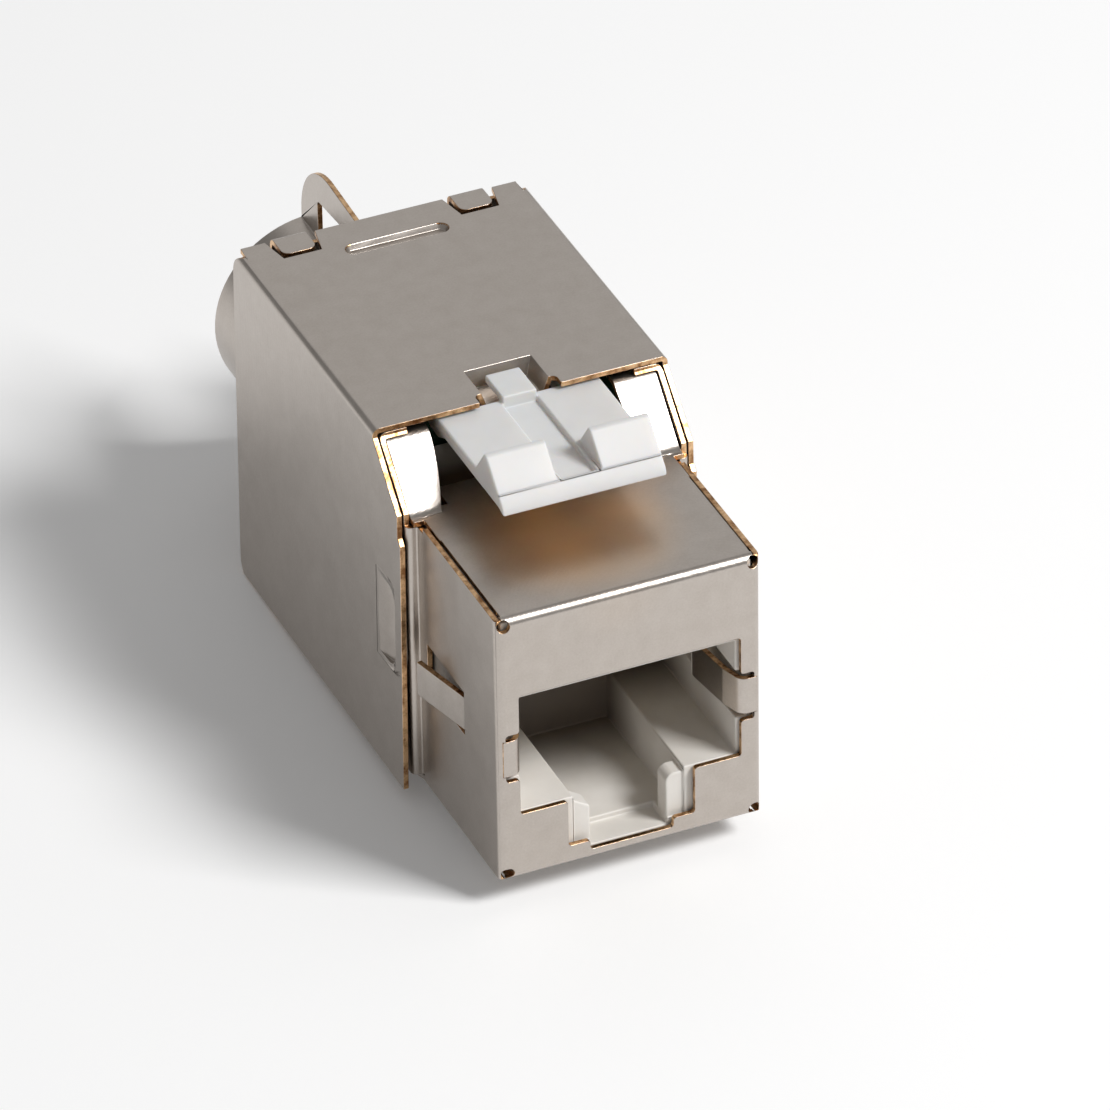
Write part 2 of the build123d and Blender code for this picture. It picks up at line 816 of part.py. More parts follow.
jack_insert.part.label = "jack_insert"
export_step(jack_insert.part, "parts/jack_insert.step")

# Contact carrier: comb that holds the contacts above the cavity
carrier_low = cavity_roof + seat_gap
carrier_front = insert_front + lintel + seat_gap
with BuildPart() as contact_carrier:
    with BuildSketch(across(carrier_front)):
        with Locations((0, carrier_low)):
            Rectangle(
                2 * carrier_half, insert_high - carrier_low, align=(Align.CENTER, Align.MIN)
            )
    extrude(amount=-(insert_back - carrier_front))
    for number in range(contact_count):
        slot_x = (number - (contact_count - 1) / 2) * contact_pitch
        slot_top = contact_run + contact_stagger * (number % 2) + wire_size / 2 + hole_gap
        with BuildSketch(across(carrier_front + sheet)):
            with Locations((slot_x, carrier_low)):
                Rectangle(comb_slot, slot_top - carrier_low, align=(Align.CENTER, Align.MIN))
        extrude(amount=-(insert_back - carrier_front), mode=Mode.SUBTRACT)

contact_carrier.part.label = "contact_carrier"
export_step(contact_carrier.part, "parts/contact_carrier.step")

# Contacts: bent wires that run from the board over the cavity and spring down into it
for number in range(contact_count):
    run_z = contact_run + contact_stagger * (number % 2)
    with BuildPart() as contact:
        wire = strip(
            along((number - (contact_count - 1) / 2) * contact_pitch - wire_size / 2),
            [
                (board_back, run_z),
                (contact_front, run_z),
                (contact_front, run_z - 1.6),
                (contact_back, contact_low),
                (contact_tip, contact_low + 0.9),
            ],
            [0.45, 0.45, 1.2],
            wire_size,
        )
        extrude(wire, amount=wire_size)
    contact.part.label = f"contact_{number + 1}"
    export_step(contact.part, f"parts/contact_{number + 1}.step")

# Circuit board between the contacts and the blades
blade_places = [(hand * tower_x, z) for z in tower_z for hand in (-1, 1)]
with BuildPart() as circuit_board:
    with BuildSketch(across(board_front)):
        with Locations((0, board_low)):
            Rectangle(2 * inner_half, board_high - board_low, align=(Align.CENTER, Align.MIN))
        with Locations((-peg_x, peg_z), (peg_x, peg_z)):
            Circle(peg_radius + hole_gap, mode=Mode.SUBTRACT)
        with Locations(*blade_places):
            Rectangle(blade_thickness + 2 * hole_gap, blade_pin + 2 * hole_gap, mode=Mode.SUBTRACT)
        for number in range(contact_count):
            hole_x = (number - (contact_count - 1) / 2) * contact_pitch
            hole_z = contact_run + contact_stagger * (number % 2)
            with Locations((hole_x, hole_z)):
                Circle(hypot(wire_size, wire_size) / 2 + hole_gap, mode=Mode.SUBTRACT)
    extrude(amount=-board_thickness)

circuit_board.part.label = "circuit_board"
export_step(circuit_board.part, "parts/circuit_board.step")

# Block with eight towers that hold the blades, and cradles for the latch pivot
with BuildPart() as idc_block:
    with BuildSketch(across(block_front)):
        with Locations((0, block_low)):
            Rectangle(2 * inner_half, block_high - block_low, align=(Align.CENTER, Align.MIN))
    extrude(amount=-block_base)
    with BuildSketch(across(block_end)):
        with Locations(*blade_places):
            Rectangle(tower_width, tower_height)
    extrude(amount=-(tower_end - block_end))
    with BuildSketch(across(block_front)):
        with Locations(*blade_places):
            Rectangle(blade_thickness + 2 * blade_gap, blade_pin + 2 * blade_gap)
    extrude(amount=-block_base, mode=Mode.SUBTRACT)
    with BuildSketch(across(blade_front - blade_gap)):
        with Locations(*blade_places):
            Rectangle(blade_thickness + 2 * blade_gap, blade_height + 2 * blade_gap)
    extrude(amount=-tower_end, mode=Mode.SUBTRACT)

    # snap cradles for the pivot of the latch
    cradle_reach = pivot_radius + pivot_gap + cradle_wall
    for hand in (-1, 1):
        with BuildSketch(along(hand * cradle_x - cradle_width / 2)):
            with BuildLine():
                Polyline(
                    (block_end - seat_gap, pivot_z - 3 * cradle_reach),
                    (pivot_y + cradle_reach, pivot_z - cradle_reach),
                    (pivot_y + cradle_reach, pivot_z + cradle_grip),
                    (pivot_y - cradle_reach, pivot_z + cradle_grip),
                    (pivot_y - cradle_reach, block_high - seat_gap),
                    (block_end - seat_gap, block_high - seat_gap),
                    close=True,
                )
            make_face()
            with Locations((pivot_y, pivot_z)):
                Circle(pivot_radius + pivot_gap, mode=Mode.SUBTRACT)
        extrude(amount=cradle_width)

idc_block.part.label = "idc_block"
export_step(idc_block.part, "parts/idc_block.step")

# Blades: forked plates that bite a wire each, with a pin into the board
for number, (blade_x, blade_z) in enumerate(blade_places):
    with BuildPart() as blade:
        with BuildSketch(along(blade_x - blade_thickness / 2)):
            with Locations((blade_front, blade_z)):
                Rectangle(
                    blade_end - blade_front, blade_height, align=(Align.MIN, Align.CENTER)
                )
            with Locations((board_front, blade_z)):
                Rectangle(
                    blade_front - board_front, blade_pin, align=(Align.MIN, Align.CENTER)
                )
            with Locations((blade_end, blade_z)):
                Rectangle(
                    2 * blade_slit_depth, blade_slit, mode=Mode.SUBTRACT
                )
            with BuildLine():
                Polyline(
                    (blade_end, blade_z - blade_slit / 2 - blade_mouth),
                    (blade_end - blade_mouth, blade_z),
                    (blade_end, blade_z + blade_slit / 2 + blade_mouth),
                    close=True,
                )
            make_face(mode=Mode.SUBTRACT)
        extrude(amount=blade_thickness)
    blade.part.label = f"blade_{number + 1}"
    export_step(blade.part, f"parts/blade_{number + 1}.step")

# Wire guide: lays the eight wires over the blades when the cap closes
with BuildPart() as wire_guide:
    with BuildSketch(across(guide_front)):
        with Locations((0, guide_low)):
            Rectangle(2 * inner_half, guide_high - guide_low, align=(Align.CENTER, Align.MIN))
        with Locations((0, collar_z)):
            Circle(guide_bore, mode=Mode.SUBTRACT)
    extrude(amount=-(cap_y - seat_gap - guide_front))
    with BuildSketch(across(guide_front)):
        with Locations((-tower_x, guide_low), (tower_x, guide_low)):
            Rectangle(guide_slot, guide_high - guide_low, align=(Align.CENTER, Align.MIN))
    extrude(amount=-guide_slot_depth, mode=Mode.SUBTRACT)
    with BuildSketch(across(guide_front)):
        for z in tower_z:
            with Locations((0, z)):
                Rectangle(2 * inner_half, guide_groove)
    extrude(amount=-guide_groove_depth, mode=Mode.SUBTRACT)

wire_guide.part.label = "wire_guide"
export_step(wire_guide.part, "parts/wire_guide.step")

# Latch lever: rocks on the pivot behind, held down to the top plate by its legs
with BuildPart() as latch_lever:
    with BuildSketch(along(-latch_half)):
        with BuildLine():
            Polyline(
                (latch_front, latch_bottom - lip_drop),
                (latch_front + lip_lean, latch_bottom - lip_drop + lip_height),
                (latch_front + lip_lean + latch_slab - lip_height + lip_drop, latch_top),
                (latch_end, latch_top),
                (latch_end, latch_bottom),
                (latch_front + latch_slab, latch_bottom),
                close=True,
            )
        make_face()
    extrude(amount=2 * latch_half)

    # two ramped teeth either side of the channel
    for hand in (-1, 1):
        with BuildSketch(along(hand * tooth_gap)):
            with BuildLine():
                Polyline(
                    (latch_front + lip_lean, latch_bottom - lip_drop + lip_height),
                    (tooth_crest_y, latch_top + tooth_rise),
                    (tooth_crest_y + tooth_crest, latch_top + tooth_rise),
                    (tooth_foot_y, latch_top),
                    (tooth_foot_y, latch_top - sheet),
                    (latch_front + latch_slab, latch_top - sheet),
                    close=True,
                )
            make_face()
        extrude(amount=hand * (latch_half - tooth_gap))
    with BuildSketch(level(latch_top - channel_depth)):
        with Locations((0, latch_front + latch_slab)):
            Rectangle(
                2 * channel_half, stop_front - latch_front, align=(Align.CENTER, Align.MIN)
            )
    extrude(amount=fold, mode=Mode.SUBTRACT)

    # stop that rides in the pocket of the top plate
    stop_top = latch_top + stop_rise
    with BuildSketch(along(-channel_half)):
        with BuildLine():
            Polyline(
                (stop_front, latch_bottom),
                (stop_front, stop_top),
                (stop_end, stop_top),
                (stop_end, stop_top - stop_thickness),
                (latch_end, stop_top - stop_thickness),
                (latch_end, latch_bottom),
                close=True,
            )
        make_face()
    extrude(amount=2 * channel_half)

    # legs under the top plate and the pivot bar
    for hand in (-1, 1):
        with BuildSketch(along(hand * leg_inner)):
            with BuildLine():
                Polyline(
                    (pad_front - gusset_run, latch_bottom),
                    (pad_front, latch_bottom - gusset_drop),
                    (pad_front + pad_length, latch_bottom - gusset_drop),
                    (pad_front + pad_length + gusset_run, latch_bottom),
                    (pivot_y, latch_bottom),
                    (pivot_y, latch_top - sheet_gap),
                    (pad_front + pad_length + fold, latch_top - sheet_gap),
                    (pad_front + pad_length, plate_under - sheet_gap),
                    (pad_front, plate_under - sheet_gap),
                    (pad_front, latch_top),
                    (pad_front - gusset_run, latch_top),
                    close=True,
                )
            make_face()
        extrude(amount=hand * (leg_outer - leg_inner))
    with BuildSketch(along(-leg_outer)):
        with Locations((pivot_y, pivot_z)):
            Circle(pivot_radius)
    extrude(amount=2 * leg_outer)

latch_lever.part.label = "latch_lever"
export_step(latch_lever.part, "parts/latch_lever.step")
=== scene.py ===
import json

import bmesh
import bpy
import numpy as np
from mathutils import Matrix, Vector
from mathutils.bvhtree import BVHTree


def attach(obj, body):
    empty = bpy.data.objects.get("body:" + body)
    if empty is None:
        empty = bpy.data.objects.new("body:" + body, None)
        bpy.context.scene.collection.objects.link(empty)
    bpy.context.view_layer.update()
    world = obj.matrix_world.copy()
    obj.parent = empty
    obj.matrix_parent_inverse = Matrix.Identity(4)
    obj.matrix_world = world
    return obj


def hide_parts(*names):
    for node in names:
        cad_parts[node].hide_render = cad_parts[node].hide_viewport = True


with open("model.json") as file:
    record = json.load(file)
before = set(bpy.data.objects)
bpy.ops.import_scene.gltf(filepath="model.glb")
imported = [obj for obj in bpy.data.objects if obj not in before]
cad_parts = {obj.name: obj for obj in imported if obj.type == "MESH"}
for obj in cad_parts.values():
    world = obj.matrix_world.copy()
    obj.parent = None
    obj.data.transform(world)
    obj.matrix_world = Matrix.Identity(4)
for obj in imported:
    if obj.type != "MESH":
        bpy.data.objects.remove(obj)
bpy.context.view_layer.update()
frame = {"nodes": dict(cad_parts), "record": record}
nodes = frame["nodes"]
bodies = frame["record"]["behaviour"]["bodies"]
bodyOf = {node: body for body, members in bodies.items() for node in members}
slotOf = {part["node"]: part["material_slot"] for part in frame["record"]["subparts"]}
print("stage 1: frame loaded")

# camera at the photograph's angle: a long lens from the front left, above
cameraSet = {
    "frame": 1110,  # width of the photograph in pixels
    "focal": 10527.86,  # pixels
    "azimuth": 23.184,  # degrees, as the next two
    "elevation": 34.344,
    "roll": 0.975,
    "target": (0.0, 0.0, 0.0004),
    "targetPixel": (630.9, 719.6),
    "scale": 19868.3,  # pixels per metre at the target
    "sensor": 36.0,  # millimetres
    "clip": (0.01, 20.0),
}


def aimCamera(s):
    # the target lands on its pixel: centre = target - depth * forward - offsets along right and up
    azimuth, elevation, roll = np.radians([s["azimuth"], s["elevation"], s["roll"]])
    level = np.array([np.cos(azimuth), -np.sin(azimuth), 0.0])
    forward = np.array([
        np.sin(azimuth) * np.cos(elevation),
        np.cos(azimuth) * np.cos(elevation),
        -np.sin(elevation),
    ])
    upright = np.cross(level, forward)
    right = np.cos(roll) * level - np.sin(roll) * upright
    up = np.sin(roll) * level + np.cos(roll) * upright
    depth = s["focal"] / s["scale"]
    half = s["frame"] / 2
    across = (s["targetPixel"][0] - half) / s["focal"] * depth
    upward = -(s["targetPixel"][1] - half) / s["focal"] * depth
    centre = np.array(s["target"]) - depth * forward - across * right - upward * up
    data = bpy.data.cameras.new("photoCamera")
    data.sensor_width = s["sensor"]
    data.lens = s["focal"] * s["sensor"] / s["frame"]
    data.clip_start, data.clip_end = s["clip"]
    camera = bpy.data.objects.new("photoCamera", data)
    bpy.context.collection.objects.link(camera)
    axes = Matrix((right, up, -forward)).transposed().to_4x4()
    camera.matrix_world = Matrix.Translation(Vector(centre)) @ axes
    bpy.context.scene.camera = camera


aimCamera(cameraSet)
bpy.context.scene.view_settings.view_transform = "Standard"


# helpers for node trees; a source is a node with the name or number of its output
def newMaterial(name):
    material = bpy.data.materials.new(name)
    material.use_nodes = True
    tree = material.node_tree
    return material, tree, tree.nodes["Principled BSDF"]


def addNode(tree, kind, values=None, **settings):
    node = tree.nodes.new(kind)
    for name, value in settings.items():
        setattr(node, name, value)
    for name, value in (values or {}).items():
        node.inputs[name].default_value = value
    return node


def join(tree, source, output, target, socket):
    tree.links.new(source.outputs[output], target.inputs[socket])


def rgba(colour):
    return (colour[0], colour[1], colour[2], 1.0)


# plain pale studio
stageSet = {
    "floorSize": 3.0,
    "lugFoot": (0.008, -0.00895),  # y and z where the fixed lug rests
    "heelFoot": (0.0312, -0.00798),  # y and z where the shell's heel rests
    "floorColour": (0.93, 0.93, 0.93),
    "floorRoughness": 0.9,
    "floorGlow": 0.07,  # seen by the camera and in reflections, so that the lit floor is white
    "sky": 0.27,
}


def lightSky(s):
    world = bpy.data.worlds.new("studioWorld")
    bpy.context.scene.world = world
    world.use_nodes = True
    background = world.node_tree.nodes["Background"]
    background.inputs["Color"].default_value = (1, 1, 1, 1)
    background.inputs["Strength"].default_value = s["sky"]


def paleFloor(s):
    # a matt floor whose faint glow is there only for camera, glossy and transmission rays
    material, tree, shader = newMaterial("paleFloor")
    shader.inputs["Base Color"].default_value = rgba(s["floorColour"])
    shader.inputs["Roughness"].default_value = s["floorRoughness"]
    shader.inputs["Specular IOR Level"].default_value = 0.0
    glow = addNode(tree, "ShaderNodeEmission", {"Color": (1, 1, 1, 1), "Strength": s["floorGlow"]})
    dark = addNode(tree, "ShaderNodeEmission", {"Color": (0, 0, 0, 1), "Strength": 0.0})
    path = addNode(tree, "ShaderNodeLightPath")
    some = addNode(tree, "ShaderNodeMath", operation="MAXIMUM")
    seen = addNode(tree, "ShaderNodeMath", operation="MAXIMUM")
    join(tree, path, "Is Camera Ray", some, 0)
    join(tree, path, "Is Glossy Ray", some, 1)
    join(tree, some, 0, seen, 0)
    join(tree, path, "Is Transmission Ray", seen, 1)
    mix = addNode(tree, "ShaderNodeMixShader")
    join(tree, seen, 0, mix, "Fac")
    join(tree, dark, 0, mix, 1)
    join(tree, glow, 0, mix, 2)
    both = addNode(tree, "ShaderNodeAddShader")
    join(tree, shader, 0, both, 0)
    join(tree, mix, 0, both, 1)
    join(tree, both, 0, tree.nodes["Material Output"], "Surface")
    return material


def layFloor(s):
    # the floor passes under both feet, so it is tilted a little about X
    startY, startZ = s["lugFoot"]
    endY, endZ = s["heelFoot"]
    slope = (endZ - startZ) / (endY - startY)
    half = s["floorSize"] / 2
    outline = ((-half, -half), (half, -half), (half, half), (-half, half))
    corners = [(x, y, startZ + slope * (y - startY)) for x, y in outline]
    mesh = bpy.data.meshes.new("floor")
    mesh.from_pydata(corners, [], [(0, 1, 2, 3)])
    mesh.materials.append(paleFloor(s))
    floor = bpy.data.objects.new("floor", mesh)
    bpy.context.collection.objects.link(floor)


lightSky(stageSet)
layFloor(stageSet)

# each lamp hangs in the direction of its place, at its distance, and faces the origin
lampSet = {
    "keyLamp": {"place": (0.48, -0.48, 0.74), "distance": 0.7, "size": 0.22, "watts": 4.4},
    "backLamp": {"place": (0.325, 0.76, 0.56), "distance": 0.7, "size": 0.62, "watts": 0.44},
}


def hangLamp(name, s):
    data = bpy.data.lights.new(name, "AREA")
    data.shape = "SQUARE"
    data.size = s["size"]
    data.energy = s["watts"]
    lamp = bpy.data.objects.new(name, data)
    bpy.context.collection.objects.link(lamp)
    direction = Vector(s["place"]).normalized()
    lamp.location = direction * s["distance"]
    lamp.rotation_euler = direction.to_track_quat("Z", "Y").to_euler()


for name, lamp in lampSet.items():
    hangLamp(name, lamp)
print("stage 2: camera and studio")

# helpers for finishes
noiseSpan = (0.3, 0.7)  # most values of a noise texture lie between these
mixSocket = {"share": 0, "below": 6, "above": 7, "result": 2}  # of the Mix node, for colours
waveBand = 0.314  # width of one band of a wave texture at a scale of 1


def noise(tree, place, size, detail=2.0, stretch=(1, 1, 1), roughness=0.5):
    # noise on object coordinates; size is the width of a feature in metres
    mapping = addNode(tree, "ShaderNodeMapping")
    mapping.inputs["Scale"].default_value = [s / size for s in stretch]
    join(tree, place, "Object", mapping, "Vector")
    node = addNode(tree, "ShaderNodeTexNoise", {"Scale": 1.0, "Detail": detail, "Roughness": roughness})
    join(tree, mapping, 0, node, "Vector")
    return node


def ramp(tree, source, output, stops):
    # each stop is a place with a colour, or with a grey as one number
    node = tree.nodes.new("ShaderNodeValToRGB")
    elements = node.color_ramp.elements
    while len(elements) < len(stops):
        elements.new(0.5)
    for element, (place, colour) in zip(elements, stops):
        element.position = place
        element.color = rgba(colour if isinstance(colour, tuple) else (colour, colour, colour))
    join(tree, source, output, node, "Fac")
    return node


def toneBetween(tree, source, output, s):
    low, high = s["toneStops"]
    return ramp(tree, source, output, [(low, s["deep"]), (high, s["pale"])])


def mixColour(tree, share, below, above):
    # share and below are each a node and its output, and so is above unless it is a plain colour
    node = addNode(tree, "ShaderNodeMix", data_type="RGBA")
    join(tree, *share, node, mixSocket["share"])
    join(tree, *below, node, mixSocket["below"])
    if len(above) == 2:
        join(tree, *above, node, mixSocket["above"])
    else:
        node.inputs[mixSocket["above"]].default_value = rgba(above)
    return node


def spreadRoughness(tree, source, shader, limits):
    node = addNode(
        tree, "ShaderNodeMapRange",
        {"From Min": noiseSpan[0], "From Max": noiseSpan[1], "To Min": limits[0], "To Max": limits[1]},
    )
    join(tree, source, "Fac", node, "Value")
    join(tree, node, 0, shader, "Roughness")


def addBump(tree, source, strength, distance, target):
    node = addNode(tree, "ShaderNodeBump", {"Strength": strength, "Distance": distance})
    join(tree, source, "Fac", node, "Height")
    join(tree, node, 0, target, "Normal")
    return node


# nickel-plated sheet with bare bronze edges, as every shell, cap and collar has it
sheetSet = {
    "pale": (0.565, 0.515, 0.47),
    "deep": (0.475, 0.425, 0.38),
    "toneStops": (0.3, 0.72),
    "grain": 0.00011,
    "grainShare": 0.45,
    "grainDepth": 0.000004,
    "grainStrength": 0.5,
    "mottle": 0.0011,
    "mottleShare": 0.55,
    "roughness": (0.30, 0.335),
    "swirlPlace": (0.0025, -0.0035, 0.0045),  # middle of the faint rubbing marks
    "swirlPitch": 0.00021,
    "swirlDepth": 0.000005,
    "swirlStrength": 0.3,
    "swirlBreaks": {"Distortion": 5.0, "Detail": 2.0, "Detail Scale": 0.35},
    "warmPlace": (-0.0006, 0.0056, 0.0084),  # middle of a painted warm reflection on the roof
    "warmCore": 0.0016,
    "warmReach": 0.0064,
    "warmShare": 1.6,
    "warmCloud": 0.006,
    "warmColour": (0.88, 0.58, 0.33),
}
edgeAndShadeSet = {
    "pale": (0.82, 0.54, 0.30),
    "deep": (0.30, 0.145, 0.06),
    "toneStops": (0.38, 0.6),
    "streak": 0.0007,
}


def paintedReflection(tree, place, s):
    # share of the painted warm reflection: it fades out from its middle, broken up by a wide noise
    offset = addNode(tree, "ShaderNodeVectorMath", {1: s["warmPlace"]}, operation="SUBTRACT")
    join(tree, place, "Object", offset, 0)
    reach = addNode(tree, "ShaderNodeVectorMath", operation="LENGTH")
    join(tree, offset, 0, reach, 0)
    fade = addNode(
        tree, "ShaderNodeMapRange",
        {"From Min": s["warmCore"], "From Max": s["warmReach"], "To Min": s["warmShare"], "To Max": 0.0},
        interpolation_type="SMOOTHSTEP",
    )
    join(tree, reach, "Value", fade, "Value")
    cloud = noise(tree, place, s["warmCloud"])
    share = addNode(tree, "ShaderNodeMath", operation="MULTIPLY")
    join(tree, fade, 0, share, 0)
    join(tree, cloud, "Fac", share, 1)
    return share


def rubbingMarks(tree, place, s):
    # rings about a point off the front, broken up by noise
    centred = addNode(tree, "ShaderNodeVectorMath", {1: s["swirlPlace"]}, operation="SUBTRACT")
    join(tree, place, "Object", centred, 0)
    swirl = addNode(
        tree, "ShaderNodeTexWave",
        {"Scale": waveBand / s["swirlPitch"], **s["swirlBreaks"]},
        wave_type="RINGS", rings_direction="SPHERICAL",
    )
    join(tree, centred, 0, swirl, "Vector")
    return swirl


def platedSheet(s, e):
    material, tree, shader = newMaterial("platedSheet")
    place = addNode(tree, "ShaderNodeTexCoord")
    grain = noise(tree, place, s["grain"], detail=3.0)
    mottle = noise(tree, place, s["mottle"], detail=4.0, roughness=0.6)
    mottled = addNode(tree, "ShaderNodeMath", {1: s["mottleShare"]}, operation="MULTIPLY")
    join(tree, mottle, "Fac", mottled, 0)
    blend = addNode(tree, "ShaderNodeMath", {1: s["grainShare"]}, operation="MULTIPLY_ADD")
    join(tree, grain, "Fac", blend, 0)
    join(tree, mottled, 0, blend, 2)
    tone = toneBetween(tree, blend, 0, s)
    # painted reflection: a warm patch on the roof where the lever's shaded underside would mirror
    warm = mixColour(tree, (paintedReflection(tree, place, s), 0), (tone, "Color"), s["warmColour"])

    # the faces that dress() marks as cut edges show bare bronze; the faces it marks inside the corner
    # reliefs show the same dark bronze as painted shade
    streak = noise(tree, place, e["streak"], detail=3.0, roughness=0.7)
    bronze = toneBetween(tree, streak, "Fac", e)
    cutAndShade = addNode(tree, "ShaderNodeAttribute", attribute_name="cutEdgeAndShade")
    colour = mixColour(tree, (cutAndShade, "Fac"), (warm, mixSocket["result"]), (bronze, "Color"))
    join(tree, colour, mixSocket["result"], shader, "Base Color")
    spreadRoughness(tree, mottle, shader, s["roughness"])
    rubbed = addBump(tree, rubbingMarks(tree, place, s), s["swirlStrength"], s["swirlDepth"], shader)
    addBump(tree, grain, s["grainStrength"], s["grainDepth"], rubbed)
    shader.inputs["Metallic"].default_value = 1.0
    return material


# moulded plastics: the colour drifts a little, under a fine spark-eroded skin; the white plastic darkens
# with depth into the port as painted shade
plasticSet = {
    "whitePlastic": {
        "pale": (0.78, 0.75, 0.705),
        "deep": (0.72, 0.685, 0.635),
        "toneStops": (0.35, 0.65),
        "paintedShade": (0.085, 0.056, 0.034),  # painted shade: the colour deep in the port, standing in for the shade there
        "fade": ((0.0052, 0.0), (0.0114, 1.0), (0.0135, 1.0), (0.016, 0.0)),  # share of the painted shade by y
        "fadeReach": 0.02,
        "drift": 0.0025,
        "roughness": (0.38, 0.5),
        "grain": 0.00009,
        "grainDepth": 0.000003,
        "grainStrength": 0.4,
        "subsurface": 0.06,
        "radius": (0.0006, 0.0005, 0.0004),
    },
    "leverPlastic": {
        "pale": (0.70, 0.693, 0.685),
        "deep": (0.665, 0.655, 0.645),
        "toneStops": (0.35, 0.65),
        "paintedShade": (0.69, 0.68, 0.67),
        "fade": ((0.0, 0.0), (0.02, 0.0)),
        "fadeReach": 0.02,
        "drift": 0.0025,
        "roughness": (0.42, 0.55),
        "grain": 0.00008,
        "grainDepth": 0.000003,
        "grainStrength": 0.4,
        "subsurface": 0.4,  # light passes through the thin lever
        "radius": (0.0016, 0.0011, 0.0007),
    },
}


def mouldedPlastic(name, s):
    material, tree, shader = newMaterial(name)
    place = addNode(tree, "ShaderNodeTexCoord")
    drift = noise(tree, place, s["drift"], detail=3.0)
    tone = toneBetween(tree, drift, "Fac", s)
    axes = addNode(tree, "ShaderNodeSeparateXYZ")
    join(tree, place, "Object", axes, 0)
    reach = addNode(tree, "ShaderNodeMath", {1: 1 / s["fadeReach"]}, operation="MULTIPLY")
    join(tree, axes, "Y", reach, 0)
    # painted shade: the colour darkens by depth y towards the painted shade colour
    fade = ramp(tree, reach, 0, [(deep / s["fadeReach"], share) for deep, share in s["fade"]])
    fade.color_ramp.interpolation = "EASE"
    colour = mixColour(tree, (fade, 0), (tone, "Color"), s["paintedShade"])
    join(tree, colour, mixSocket["result"], shader, "Base Color")
    spreadRoughness(tree, drift, shader, s["roughness"])
    skin = noise(tree, place, s["grain"])
    addBump(tree, skin, s["grainStrength"], s["grainDepth"], shader)
    shader.inputs["Subsurface Weight"].default_value = s["subsurface"]
    shader.inputs["Subsurface Radius"].default_value = s["radius"]
    shader.inputs["Subsurface Scale"].default_value = 1.0
    return material


# bright springy metals of the contacts and blades
wireSet = {
    "giltWire": {
        "pale": (0.95, 0.74, 0.36),
        "deep": (0.80, 0.55, 0.22),
        "toneStops": (0.35, 0.65),
        "roughness": 0.2,
        "streak": 0.0008,
        "along": 0.15,  # streaks run along Y
        "streakDepth": 0.000003,
        "streakStrength": 0.3,
    },
    "tinnedBlade": {
        "pale": (0.76, 0.75, 0.73),
        "deep": (0.60, 0.59, 0.57),
        "toneStops": (0.35, 0.65),
        "roughness": 0.32,
        "streak": 0.0005,
        "along": 0.15,
        "streakDepth": 0.000003,
        "streakStrength": 0.3,
    },
}


def drawnMetal(name, s):
    material, tree, shader = newMaterial(name)
    place = addNode(tree, "ShaderNodeTexCoord")
    streak = noise(tree, place, s["streak"], detail=3.0, stretch=(1, s["along"], 1))
    tone = toneBetween(tree, streak, "Fac", s)
    join(tree, tone, "Color", shader, "Base Color")
    shader.inputs["Metallic"].default_value = 1.0
    shader.inputs["Roughness"].default_value = s["roughness"]
    addBump(tree, streak, s["streakStrength"], s["streakDepth"], shader)
    return material


# glass laminate under green solder mask, with copper tracks that show through
boardSet = {
    "deep": (0.006, 0.03, 0.014),  # over bare laminate
    "pale": (0.012, 0.06, 0.028),  # over a track
    "toneStops": (0.72, 0.8),
    "trackPitch": 0.0013,
    "trackScale": 0.32,
    "bend": 0.004,
    "trackDepth": 0.00002,
    "trackStrength": 0.4,
    "roughness": 0.3,
}


def maskedBoard(s):
    material, tree, shader = newMaterial("boardLaminate")
    place = addNode(tree, "ShaderNodeTexCoord")
    bend = noise(tree, place, s["bend"], detail=1.0)
    mapping = addNode(tree, "ShaderNodeMapping")
    mapping.inputs["Scale"].default_value = [1 / s["trackPitch"]] * 3
    join(tree, place, "Object", mapping, "Vector")
    shift = addNode(tree, "ShaderNodeVectorMath", operation="ADD")
    join(tree, mapping, 0, shift, 0)
    join(tree, bend, "Color", shift, 1)
    track = addNode(
        tree, "ShaderNodeTexWave", {"Scale": s["trackScale"], "Distortion": 0.0}, bands_direction="X"
    )
    join(tree, shift, 0, track, "Vector")
    tone = toneBetween(tree, track, "Fac", s)
    join(tree, tone, "Color", shader, "Base Color")
    shader.inputs["Roughness"].default_value = s["roughness"]
    addBump(tree, track, s["trackStrength"], s["trackDepth"], shader)
    return material


finishes = {
    "plated_sheet": platedSheet(sheetSet, edgeAndShadeSet),
    "white_plastic": mouldedPlastic("whitePlastic", plasticSet["whitePlastic"]),
    "lever_plastic": mouldedPlastic("leverPlastic", plasticSet["leverPlastic"]),
    "gilt_wire": drawnMetal("giltWire", wireSet["giltWire"]),
    "tinned_blade": drawnMetal("tinnedBlade", wireSet["tinnedBlade"]),
    "board_laminate": maskedBoard(boardSet),
}
for name, node in nodes.items():
    node.data.materials.clear()
    node.data.materials.append(finishes[slotOf[name]])
print("stage 3: finishes")

# dressed copies: the same form with its sharp edges broken, and the cut edges of the sheet marked, with
# the corner reliefs marked too as painted shade
dressSet = {
    "weld": 1e-7,  # vertices closer than this become one
    "flat": 0.6,  # degrees; faces flatter than this become one
    "sharp": 30.0,  # degrees; edges sharper than this are broken
    "stray": 0.75,  # share of the edge's width that a corner may lie off the surface
    "breaks": {  # width of each broken edge, and its steps
        "front_shield": (0.00004, 2),
        "rear_shell": (0.00004, 2),
        "rear_cap": (0.00004, 2),
        "cable_collar": (0.00005, 2),
        "jack_insert": (0.0001, 3),
        "contact_carrier": (0.00008, 2),
        "circuit_board": (0.00005, 1),
        "idc_block": (0.0001, 2),
        "wire_guide": (0.0001, 2),
        "latch_lever": (0.0001, 3),
    },
}

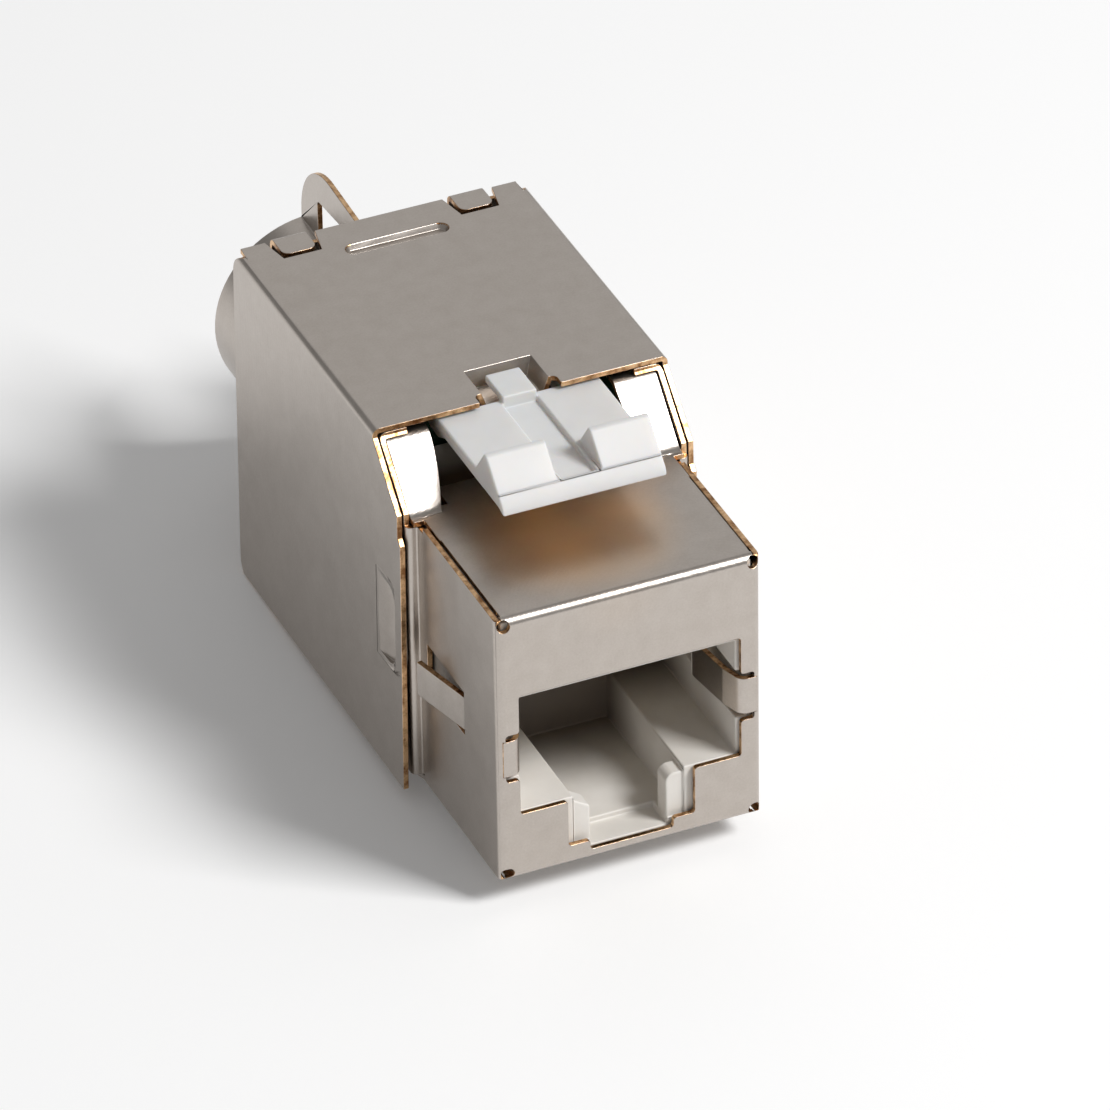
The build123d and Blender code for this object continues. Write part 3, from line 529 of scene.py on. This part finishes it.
# where the sheet is cut; a zone is its span across, along and up, and holds on both sides
cutSet = {
    "sheet": 0.0003,  # thickness of the sheet metal
    "deep": 1.6,  # a face with more than this many sheets of metal behind it is a cut edge
    "lift": 2e-6,
    "dimples": ((0.0073, 0.0086), (0.0104, 0.0134), (-0.0001, 0.005)),
    # the corner reliefs are marked whole, so the folds seen through them take the dark bronze as painted
    # shade
    "reliefs": ((0.0063, 0.0072), (0.00005, 0.0016), (0.0068, 0.00835)),
}


def isSheet(name):
    return slotOf[name] == "plated_sheet"


def inZone(point, zone):
    return all(low < abs(value) < high for value, (low, high) in zip(point, zone))


def skinOf(mesh):
    return BVHTree.FromPolygons([v.co for v in mesh.vertices], [tuple(p.vertices) for p in mesh.polygons])


def widestTriangles(mesh):
    mesh.calc_loop_triangles()
    widest = {}
    for triangle in mesh.loop_triangles:
        known = widest.get(triangle.polygon_index)
        if known is None or triangle.area > known.area:
            widest[triangle.polygon_index] = triangle
    return widest


def markCutsAndShade(mesh, s):
    # the metal's depth is probed from the middle of a face's widest triangle; the drawn flanks of
    # the dimples are no cut, and every face in the pierced corner reliefs is marked: their cut walls, and
    # the folds seen through the holes as painted shade
    skin = skinOf(mesh)
    marks = np.zeros(len(mesh.polygons), dtype=np.float32)
    for index, triangle in widestTriangles(mesh).items():
        middle = sum((mesh.vertices[v].co for v in triangle.vertices), Vector()) / 3
        inward = -mesh.polygons[index].normal
        struck, _, _, depth = skin.ray_cast(middle + inward * s["lift"], inward)
        deep = struck is None or depth > s["deep"] * s["sheet"]
        bareOrShaded = (deep and not inZone(middle, s["dimples"])) or inZone(middle, s["reliefs"])
        marks[index] = 1.0 if bareOrShaded else 0.0
    layer = mesh.attributes.new("cutEdgeAndShade", "FLOAT", "FACE")
    layer.data.foreach_set("value", marks)


def plainForm(name, s):
    # the node's solid with its welded faces joined where they are flat
    work = bmesh.new()
    work.from_mesh(nodes[name].data)
    bmesh.ops.remove_doubles(work, verts=work.verts, dist=s["weld"])
    bmesh.ops.dissolve_limit(work, angle_limit=np.radians(s["flat"]), verts=work.verts, edges=work.edges)
    if not isSheet(name):
        bmesh.ops.triangulate(work, faces=work.faces, quad_method="BEAUTY", ngon_method="BEAUTY")
    work.verts.index_update()
    points = [v.co.copy() for v in work.verts]
    faces = [[v.index for v in f.verts] for f in work.faces]
    work.free()
    mesh = bpy.data.meshes.new(name + "_dressed")
    mesh.from_pydata(points, [], faces)
    mesh.update()
    mesh.polygons.foreach_set("use_smooth", np.ones(len(mesh.polygons), dtype=bool))
    return mesh


def breakEdges(piece, width, steps, s):
    bevel = piece.modifiers.new("brokenEdges", "BEVEL")
    bevel.width = width
    bevel.segments = steps
    bevel.limit_method = "ANGLE"
    bevel.angle_limit = np.radians(s["sharp"])
    bevel.use_clamp_overlap = False
    bevel.loop_slide = False
    bevel.harden_normals = True


def settle(piece, reach):
    # the bevel is made final, and a corner that it threw off the surface goes back to the nearest point
    skin = skinOf(piece.data)
    points = [v.co for v in piece.data.vertices]
    low, high = np.min(points, axis=0), np.max(points, axis=0)
    graph = bpy.context.evaluated_depsgraph_get()
    mesh = bpy.data.meshes.new_from_object(
        piece.evaluated_get(graph), preserve_all_data_layers=True, depsgraph=graph
    )
    strays = 0
    for vertex in mesh.vertices:
        place, _, _, distance = skin.find_nearest(vertex.co)
        if distance > reach:
            vertex.co = place
            strays += 1
        vertex.co = Vector(np.clip(vertex.co, low, high))
    piece.modifiers.clear()
    piece.data = mesh
    return strays


def dress(name, s):
    width, steps = s["breaks"][name]
    mesh = plainForm(name, s)
    if isSheet(name):
        markCutsAndShade(mesh, cutSet)
    mesh.materials.append(finishes[slotOf[name]])
    piece = bpy.data.objects.new(name + "_dressed", mesh)
    bpy.context.collection.objects.link(piece)
    breakEdges(piece, width, steps, s)
    print("  ", name, "corners put back:", settle(piece, s["stray"] * width))
    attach(piece, bodyOf[name])
    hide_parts(name)


for name in dressSet["breaks"]:
    dress(name, dressSet)
print("stage 4: broken edges")
